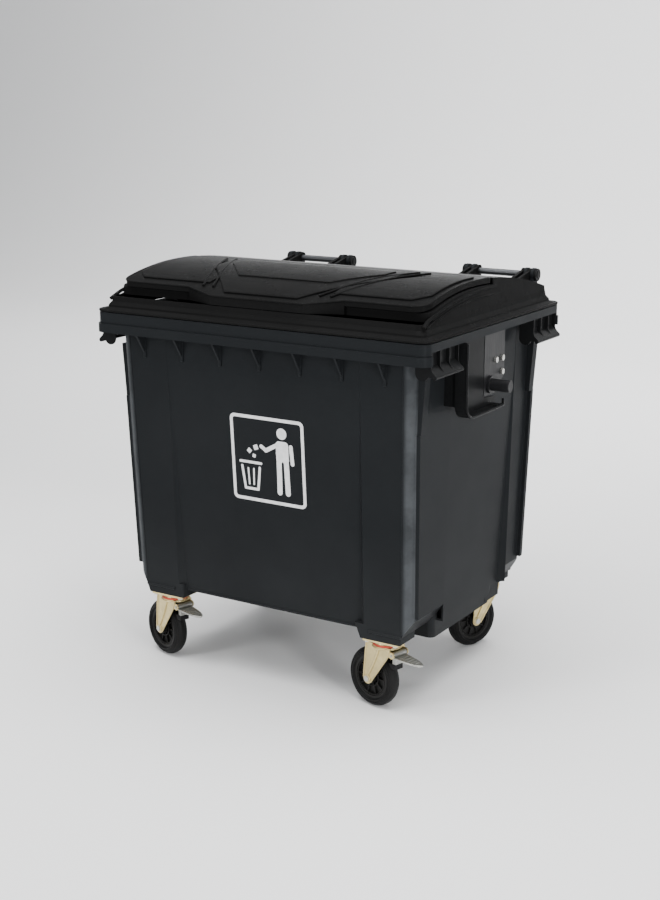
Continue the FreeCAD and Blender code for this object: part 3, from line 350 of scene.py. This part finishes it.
def modify(piece, kind, **settings):
    """Adds a modifier and applies it."""
    clear_selection()
    piece.select_set(True)
    bpy.context.view_layer.objects.active = piece
    change = piece.modifiers.new(kind.lower(), kind)
    for key, value in settings.items():
        setattr(change, key, value)
    bpy.ops.object.modifier_apply(modifier=change.name)
    return piece


def soften(piece, width, segments=3):
    """Rounds a piece's sharp edges."""
    return modify(piece, "BEVEL", width=width, segments=segments, limit_method="ANGLE",
                  angle_limit=math.radians(30))


def joined(name, pieces):
    """Makes one piece of several."""
    clear_selection()
    for piece in pieces:
        piece.select_set(True)
    bpy.context.view_layer.objects.active = pieces[0]
    if len(pieces) > 1:
        bpy.ops.object.join()
    whole = bpy.context.object
    whole.name = name
    return whole


def dress(piece, finish, body, angle=35):
    """Finish, smooth shading, and the body that the piece rides on."""
    clear_selection()
    piece.select_set(True)
    bpy.context.view_layer.objects.active = piece
    bpy.ops.object.shade_smooth_by_angle(angle=math.radians(angle))
    piece.data.materials.clear()
    piece.data.materials.append(finish)
    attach(piece, body)
    return piece


def edit(piece, kind):
    """Opens a piece in edit mode with nothing selected."""
    clear_selection()
    piece.select_set(True)
    bpy.context.view_layer.objects.active = piece
    bpy.ops.object.mode_set(mode="EDIT")
    bpy.ops.mesh.select_mode(type=kind)
    bpy.ops.mesh.select_all(action="DESELECT")
    return bmesh.from_edit_mesh(piece.data)


def pick(piece, mesh, kind, wanted):
    """Selects the verts, edges or faces that a test accepts."""
    for item in getattr(mesh, kind):
        item.select_set(bool(wanted(item)))
    mesh.select_flush_mode()
    bmesh.update_edit_mesh(piece.data)


def close(piece):
    """Closes a piece that was open in edit mode."""
    bpy.ops.object.mode_set(mode="OBJECT")
    return piece


def curve_to_mesh(name, line):
    """Makes a curve into a piece with a mesh."""
    piece = bpy.data.objects.new(name, line)
    bpy.context.scene.collection.objects.link(piece)
    clear_selection()
    piece.select_set(True)
    bpy.context.view_layer.objects.active = piece
    bpy.ops.object.convert(target="MESH")
    return bpy.context.object


def bead(name, points, radius, sides=4):
    """A smooth moulded bead along a line of points."""
    line = bpy.data.curves.new(name, "CURVE")
    line.dimensions = "3D"
    line.bevel_depth = radius
    line.bevel_resolution = sides
    line.resolution_u = 8
    line.use_fill_caps = True
    spline = line.splines.new("NURBS")
    spline.points.add(len(points) - 1)
    for holder, point in zip(spline.points, points):
        holder.co = (*point, 1.0)
    spline.order_u = 3
    spline.use_endpoint_u = True
    return curve_to_mesh(name, line)


def laid_sheet(name, target, low, high, cuts, thickness, lift, steps, soft):
    """A moulded pad on the surface under it: a grid trimmed by planes, laid down and thickened."""
    clear_selection()
    middle = ((low[0] + high[0]) / 2, (low[1] + high[1]) / 2, high[2])
    bpy.ops.mesh.primitive_grid_add(x_subdivisions=steps[0], y_subdivisions=steps[1], size=1.0,
                                    location=middle)
    bpy.context.object.scale = (high[0] - low[0], high[1] - low[1], 1.0)
    piece = settle(bpy.context.object)
    piece.name = name
    for place, outward in cuts:
        edit(piece, "FACE")
        bpy.ops.mesh.select_all(action="SELECT")
        bpy.ops.mesh.bisect(plane_co=(place[0], place[1], high[2]), plane_no=(outward[0], outward[1], 0.0),
                            clear_outer=True, clear_inner=False)
        close(piece)
    modify(piece, "SHRINKWRAP", target=target, wrap_method="PROJECT", use_project_z=True,
           use_negative_direction=True, use_positive_direction=False, offset=lift)
    modify(piece, "SOLIDIFY", thickness=thickness, offset=1.0, use_even_offset=True)
    return soften(piece, soft, 2)


def at(x, y, z):
    """A point measured from the middle of the rim on the ground."""
    return (x, y + mid_y, z)


def copy_of(piece, name):
    """A copy of a piece with a mesh of its own."""
    double = piece.copy()
    double.data = piece.data.copy()
    double.name = name
    bpy.context.scene.collection.objects.link(double)
    return double


def flipped(piece, name):
    """The same piece on the other side of the container."""
    double = copy_of(piece, name)
    double.scale = (-1.0, 1.0, 1.0)
    settle(double)
    edit(double, "FACE")
    bpy.ops.mesh.select_all(action="SELECT")
    bpy.ops.mesh.normals_make_consistent(inside=False)
    return close(double)


# ---- lid and flap ----

def flap_pads():
    """Moulded relief on the flap: a bonnet with a raised crown, a pad on each side, and creases between."""
    flap = nodes["flap"]
    slant = Vector((0.36, -0.14)).normalized()
    cut_x, cut_y = slant.x * 2.4, slant.y * 2.4
    bonnet_cuts = [(at(sx * 0.205, -0.36, 0), (sx * cut_x, cut_y)) for sx in (-1, 1)]
    bonnet = laid_sheet("flap_bonnet", flap, at(-0.34, -0.435, 0), at(0.34, -0.050, 1.42), bonnet_cuts,
                        0.006, 0.0002, (60, 36), 0.003)
    inner_cuts = [(at(sx * 0.150, -0.33, 0), (sx * cut_x, cut_y)) for sx in (-1, 1)]
    crown = laid_sheet("flap_bonnet_crown", flap, at(-0.30, -0.300, 0), at(0.30, -0.085, 1.42), inner_cuts,
                       0.0095, 0.0002, (60, 30), 0.0035)
    dress(bonnet, lid_finish, "flap")
    dress(crown, lid_finish, "flap")
    side_cuts = [(at(0.352, -0.20, 0), (-cut_x, -cut_y)),
                 (at(0.545, -0.345, 0), (0.7, -0.7)), (at(0.55, -0.035, 0), (0.7, 0.7))]
    right = laid_sheet("flap_pad_right", flap, at(0.24, -0.375, 0), at(0.562, -0.012, 1.42), side_cuts,
                       0.005, 0.0002, (40, 36), 0.0025)
    left = flipped(right, "flap_pad_left")
    for pad in (right, left):
        dress(pad, lid_finish, "flap")
    for sx, name in ((-1, "left"), (1, "right")):
        lines = []
        for i, x in enumerate((0.205, 0.245)):
            points = []
            for t in (0.0, 0.25, 0.5, 0.75, 1.0):
                y = -0.405 + 0.36 * t
                points.append(at(sx * (x + 0.16 * t), y, surface_height(y) + 0.005))
            lines.append(bead("flap_crease_%s_%d" % (name, i), points, 0.004, 3))
        dress(joined("flap_creases_" + name, lines), lid_finish, "flap", 60)


def surface_height(y):
    """Height of the flap's skin above the ground along the container."""
    radius = FLAP_RADIUS_FRONT if y < FLAP_CREST_Y else FLAP_RADIUS_BACK
    return FLAP_CREST - radius + math.sqrt(radius * radius - (y - FLAP_CREST_Y) ** 2)


def flap_edge():
    """Rolled edge all round the flap and its grip."""
    x, back, front = 0.5845, -0.002, -0.4095
    plan = ((0.0, -0.4575), (0.10, -0.4575), (0.176, -0.4575), (0.183, -0.4555), (0.240, -0.434),
            (0.297, -0.411), (0.303, -0.4098), (0.40, front), (0.500, front), (0.543, front),
            (0.566, -0.404), (0.5805, -0.390), (x, -0.366), (x, -0.30), (x, -0.20), (x, -0.10),
            (x, back), (x, 0.012))
    points = [at(px, py, surface_height(py) - 0.0015) for px, py in plan]
    right = bead("flap_edge_right", points, 0.0032, 3)
    left = flipped(right, "flap_edge_left")
    dress(joined("flap_edge", [right, left]), lid_finish, "flap", 60)


def lid_ridges():
    """Two raised lines along each side of the dome."""
    lid_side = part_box("lid_shell")[1].x
    dome_side = lid_side - 0.0362
    upper = [(0.004, -0.452, 1.2900), (0.0, -0.436, 1.2985), (-0.0005, -0.404, 1.3110),
             (-0.002, -0.33, 1.3290), (-0.004, -0.241, 1.3450), (-0.006, -0.12, 1.3570),
             (-0.008, 0.00, 1.3600), (-0.009, 0.06, 1.3560)]
    lower = [(0.002, -0.436, 1.2880), (0.0, -0.40, 1.2960), (-0.002, -0.33, 1.3110),
             (-0.003, -0.241, 1.3260), (-0.004, -0.12, 1.3370), (-0.005, 0.00, 1.3380),
             (-0.006, 0.08, 1.3310)]
    right = []
    for name, path, radius in (("upper", upper, 0.006), ("lower", lower, 0.0045)):
        right.append(bead("lid_ridge_" + name, [at(dome_side + dx, y, z) for dx, y, z in path], radius, 4))
    right = joined("lid_ridges_right", right)
    left = flipped(right, "lid_ridges_left")
    for ridges in (right, left):
        dress(ridges, lid_finish, "lid", 60)


def lid_edge_roll():
    """Rolled lower edge of the lid, just above the rim."""
    low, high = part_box("lid_shell")
    x, y, z = high.x - 0.001, -low.y + mid_y - 0.001, 1.2545
    corner_radius = 0.031
    across, along = x - corner_radius, y - corner_radius
    steps = 6
    ring = []
    for cx, cy, start in ((across, -along, -90), (across, along, 0), (-across, along, 90),
                          (-across, -along, 180)):
        for i in range(steps + 1):
            turn = math.radians(start + 90 * i / steps)
            ring.append(at(cx + corner_radius * math.cos(turn), cy + corner_radius * math.sin(turn), z))
    line = bpy.data.curves.new("lid_edge_roll", "CURVE")
    line.dimensions = "3D"
    line.bevel_depth = 0.0045
    line.bevel_resolution = 3
    spline = line.splines.new("POLY")
    spline.points.add(len(ring) - 1)
    for holder, point in zip(spline.points, ring):
        holder.co = (*point, 1.0)
    spline.use_cyclic_u = True
    dress(curve_to_mesh("lid_edge_roll", line), lid_finish, "lid", 60)


# ---- tub ----

def wall_x(z):
    """Distance of a side wall from the middle, at a height."""
    return SIDE_WALL_TOP - SIDE_WALL_DRAFT * (RIM_TOP - z) / WALL_HEIGHT


def wall_y(z):
    """Distance of the front or back wall from the middle, at a height."""
    return END_WALL_TOP - END_WALL_DRAFT * (RIM_TOP - z) / WALL_HEIGHT


def tub_strips():
    """Raised strips beside each front and rear corner of the tub and along its lower edge."""
    lines = []
    for sx in (-1, 1):
        for sy in (-1, 1):
            top = CORNER_LINE_TOP
            tops = ((wall_x(top) - 0.0005, wall_y(top) - 0.036, top, 0.0032),
                    (wall_x(top) - 0.036, wall_y(top) - 0.0003, top, 0.0022))
            bottoms = ((wall_x(0.345) - 0.0005, wall_y(0.345) - 0.036, 0.345),
                       (wall_x(0.30) - 0.036, wall_y(0.30) - 0.0003, 0.300))
            for (tx, ty, tz, r), (bx, by, bz) in zip(tops, bottoms):
                ends = [at(sx * tx, sy * ty, tz), at(sx * bx, sy * by, bz)]
                lines.append(bead("corner_line", ends, r, 3))
    dress(joined("corner_lines", lines), tub_finish, "container", 60)
    rolls = []
    for sy in (-1, 1):
        y = sy * (wall_y(0.278) - 0.0005)
        for x0, x1 in ((-0.512, -0.392), (0.392, 0.512)):
            rolls.append(bead("lower_roll", [at(x0, y, 0.280), at(x1, y, 0.280)], 0.006, 4))
        y = sy * (wall_y(0.278) - 0.0225)
        rolls.append(bead("lower_roll", [at(-0.352, y, 0.279), at(0.352, y, 0.279)], 0.005, 4))
    dress(joined("lower_rolls", rolls), tub_finish, "container", 60)


def gusset_flanges():
    """Thin flange down the back of each gusset, against the wall."""
    flanges = []
    for sy in (-1, 1):
        for i in range(GUSSET_COUNT):
            x = (i - (GUSSET_COUNT - 1) // 2) * GUSSET_PITCH
            y0, y1 = sorted((sy * (wall_y(1.14) - 0.002), sy * (wall_y(1.14) + 0.0035)))
            piece = block("gusset_flange", at(x - 0.0065, y0, 1.100), at(x + 0.0065, y1, 1.181))
            flanges.append(soften(piece, 0.0025, 2))
    dress(joined("gusset_flanges", flanges), tub_finish, "container")


# ---- guards ----

def guard_beads():
    """Rolled outer edge of each lifting guard."""
    path = [(-0.2425, 1.216), (-0.2425, 1.12), (-0.2425, 1.035), (-0.2405, 1.008), (-0.229, 0.988),
            (-0.212, 0.9775), (-0.19, 0.9755), (-0.12, 0.9755), (0.020, 0.9755), (0.0265, 0.979),
            (0.0265, 0.998)]
    right = bead("guard_bead_right", [at(GUARD_EDGE_X, y, z) for y, z in path], 0.0048, 4)
    left = flipped(right, "guard_bead_left")
    for piece in (right, left):
        dress(piece, fitting_finish, "container", 60)


# ---- hinges ----

def hinge_ends():
    """Round caps with a raised centre at both ends of each hinge rod."""
    for side, sx in (("left", -1), ("right", 1)):
        low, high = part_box("hinge_rod_" + side)
        y, z = (low.y + high.y) / 2, (low.z + high.z) / 2
        caps = []
        for end, face in ((-1, low.x), (1, high.x)):
            cap = bar("cap", (face - end * 0.0035, y, z), (face + end * 0.006, y, z), 0.0225)
            mesh = edit(cap, "FACE")
            pick(cap, mesh, "faces", lambda f: f.normal.x * end > 0.9)
            bpy.ops.mesh.inset(thickness=0.007, depth=0.0)
            bpy.ops.mesh.inset(thickness=0.001, depth=-0.002)
            bpy.ops.mesh.inset(thickness=0.004, depth=0.003)
            close(cap)
            caps.append(soften(cap, 0.0016, 2))
        dress(joined("hinge_caps_" + side, caps), fitting_finish, "container")


# ---- casters ----

def placed(piece, corner):
    """Sets a piece made round an upright axis at the origin under its own caster."""
    joints = {joint["name"]: joint for joint in frame["record"]["behaviour"]["joints"]}
    roll = joints["roll_" + corner]
    swivel = joints["swivel_" + corner]
    piece.rotation_euler = (0.0, 0.0, math.atan2(-roll["axis"][0], roll["axis"][1]))
    piece.location = (swivel["pos_m"][0], swivel["pos_m"][1], 0.0)
    return settle(piece)


def fork_ribs():
    """Pressed relief on both legs of a fork and a rolled flange under its crown."""
    parts = []
    for sy in (-1, 1):
        y = sy * 0.0352
        parts.append(bead("leg_rib", [(-0.004, y, 0.219), (-0.018, y, 0.180), (-0.040, y, 0.135),
                                      (-0.051, y, 0.117)], 0.0052, 4))
        parts.append(bead("leg_edge_front", [(0.0425, y, 0.226), (0.0425, y, 0.207), (0.0, y, 0.147),
                                             (-0.0395, y, 0.091)], 0.0028, 3))
        parts.append(bead("leg_edge_back", [(-0.0605, y, 0.226), (-0.067, y, 0.16), (-0.0715, y, 0.102)],
                          0.0028, 3))
        eye = bar("leg_eye", (AXLE_BACK, y - sy * 0.0012, AXLE_HEIGHT),
                  (AXLE_BACK, y + sy * 0.0030, AXLE_HEIGHT), 0.0150)
        parts.append(soften(eye, 0.0012, 2))
    clear_selection()
    bpy.ops.mesh.primitive_torus_add(major_radius=0.0475, minor_radius=0.0034, major_segments=56,
                                     minor_segments=10, location=(0, 0, 0.2235))
    parts.append(settle(bpy.context.object))
    return joined("fork_ribs", parts)


def hub_ribs():
    """Spokes and rings moulded on both sides of a wheel's hub."""
    parts = []
    for sy in (-1, 1):
        for i in range(SPOKE_COUNT):
            turn = math.tau * i / SPOKE_COUNT
            y0, y1 = sorted((sy * 0.0065, sy * 0.0150))
            spoke = block("spoke", (0.019, y0, -0.0017), (0.0605, y1, 0.0017))
            spoke = soften(spoke, 0.001, 2)
            spoke.rotation_euler = (0.0, turn, 0.0)
            spoke.location = (AXLE_BACK, 0.0, AXLE_HEIGHT)
            parts.append(settle(spoke))
        for major, minor, out in ((0.0305, 0.0024, 0.0150), (0.0600, 0.0022, 0.0165)):
            bpy.ops.mesh.primitive_torus_add(major_radius=major, minor_radius=minor, major_segments=64,
                                             minor_segments=8, rotation=(math.pi / 2, 0, 0),
                                             location=(AXLE_BACK, sy * out, AXLE_HEIGHT))
            parts.append(settle(bpy.context.object))
    return joined("hub_ribs", parts)


def tyre_rings():
    """Raised rings on both side walls of a tyre."""
    parts = []
    for sy in (-1, 1):
        for major, minor, out in ((0.0785, 0.0022, 0.0238), (0.0868, 0.0018, 0.0218),
                                  (0.0922, 0.0014, 0.0182)):
            clear_selection()
            bpy.ops.mesh.primitive_torus_add(major_radius=major, minor_radius=minor, major_segments=96,
                                             minor_segments=8, rotation=(math.pi / 2, 0, 0),
                                             location=(AXLE_BACK, sy * out, AXLE_HEIGHT))
            parts.append(settle(bpy.context.object))
    return joined("tyre_rings", parts)


def pedal_ribs():
    """Grip bars across the pedal and its turned edges."""
    parts = []
    for x, half in ((0.078, 0.020), (0.092, 0.0175), (0.106, 0.0155), (0.120, 0.0125), (0.134, 0.0095)):
        z = 0.2018 - (x - 0.052) * 0.0524
        parts.append(bead("grip_bar", [(x, -half, z), (x, half, z)], 0.0016, 3))
    for sy in (-1, 1):
        parts.append(bead("pedal_edge", [(0.056, sy * 0.0272, 0.1990), (0.107, sy * 0.0236, 0.1965),
                                         (0.146, sy * 0.0120, 0.1945), (0.1565, 0.0, 0.1940)], 0.0024, 3))
    return joined("pedal_ribs", parts)


def caster_details():
    """The relief on all four casters."""
    makers = ((fork_ribs, "swivel_", "zinc_steel", zinc_finish),
              (hub_ribs, "wheel_", "hub_plastic", hub_finish),
              (tyre_rings, "wheel_", "tyre_rubber", tyre_finish),
              (pedal_ribs, "pedal_", "pedal_steel", pedal_finish))
    for maker, body, slot, finish in makers:
        first = maker()
        base = first.name
        for corner in CORNERS:
            if body == "pedal_" and "rear" in corner:
                continue
            piece = placed(copy_of(first, base + "_" + corner), corner)
            dress(piece, finish, body + corner, 50)
        bpy.data.objects.remove(first)


flap_pads()
flap_edge()
lid_ridges()
lid_edge_roll()
tub_strips()
gusset_flanges()
guard_beads()
hinge_ends()
caster_details()


# ---- camera, floor and light ----

def make_camera():
    """A camera in front and to the right, looking down a little."""
    data = bpy.data.cameras.new("camera")
    data.lens = 59.28
    data.sensor_width = 36.0
    data.clip_end = 60.0
    camera = bpy.data.objects.new("camera", data)
    bpy.context.scene.collection.objects.link(camera)
    camera.location = (2.65726, -4.30232 + mid_y, 2.01033)
    look_down, turn = 14.06, 31.77
    camera.rotation_euler = (math.radians(90 - look_down), 0.0, math.radians(turn))
    bpy.context.scene.camera = camera


def make_floor():
    """A pale sheet that runs back along the floor and curves up behind the container."""
    clear_selection()
    width, depth, wall, curve = 60.0, 26.0, 16.0, 5.0
    bpy.ops.mesh.primitive_plane_add(size=1.0, location=(0, -2.0, -0.0005))
    bpy.context.object.scale = (width, depth, 1.0)
    floor = settle(bpy.context.object)
    floor.name = "floor"
    mesh = edit(floor, "EDGE")
    pick(floor, mesh, "edges", lambda e: all(v.co.y > 5 for v in e.verts))
    bpy.ops.mesh.extrude_region_move(TRANSFORM_OT_translate={"value": (0, 0, wall)})
    mesh = edit(floor, "EDGE")
    pick(floor, mesh, "edges", lambda e: all(v.co.y > 5 and v.co.z < 1 for v in e.verts))
    bpy.ops.mesh.bevel(offset=curve, segments=24)
    close(floor)
    bpy.ops.object.shade_smooth()
    finish, tree, shader, place = new_finish("pale_floor")
    tree.links.new(ramp(tree, noise(tree, place, 1.5), ((0.0, grey(0.90)), (1.0, grey(0.92)))),
                   shader.inputs["Base Color"])
    shader.inputs["Roughness"].default_value = 0.8
    floor.data.materials.append(finish)


def soft_light(name, place, aim, size, power):
    """A large soft lamp turned towards a point."""
    data = bpy.data.lights.new(name, "AREA")
    data.shape = "RECTANGLE"
    data.size, data.size_y = size
    data.energy = power
    lamp = bpy.data.objects.new(name, data)
    bpy.context.scene.collection.objects.link(lamp)
    lamp.location = place
    lamp.rotation_euler = (Vector(aim) - Vector(place)).to_track_quat("-Z", "Y").to_euler()


def make_light():
    """A dim sky and four soft lamps."""
    world = bpy.data.worlds.new("studio")
    bpy.context.scene.world = world
    world.use_nodes = True
    sky = world.node_tree.nodes["Background"]
    sky.inputs["Color"].default_value = (0.95, 0.97, 1.0, 1)
    sky.inputs["Strength"].default_value = 0.45
    soft_light("overhead", place=(0.4, -0.6, 6.5), aim=(0.0, 0.0, 0.0), size=(7.0, 6.0), power=900)
    soft_light("front", place=(-2.8, -6.0, 3.2), aim=(0, 0, 0.7), size=(1.6, 3.2), power=150)
    soft_light("edge", place=(4.2, -2.7, 1.3), aim=(0.6, -0.4, 0.7), size=(0.5, 2.4), power=110)
    soft_light("wash", place=(0.0, 3.5, 5.5), aim=(0, 11.0, 2.5), size=(10.0, 2.0), power=900)


make_camera()
make_floor()
make_light()
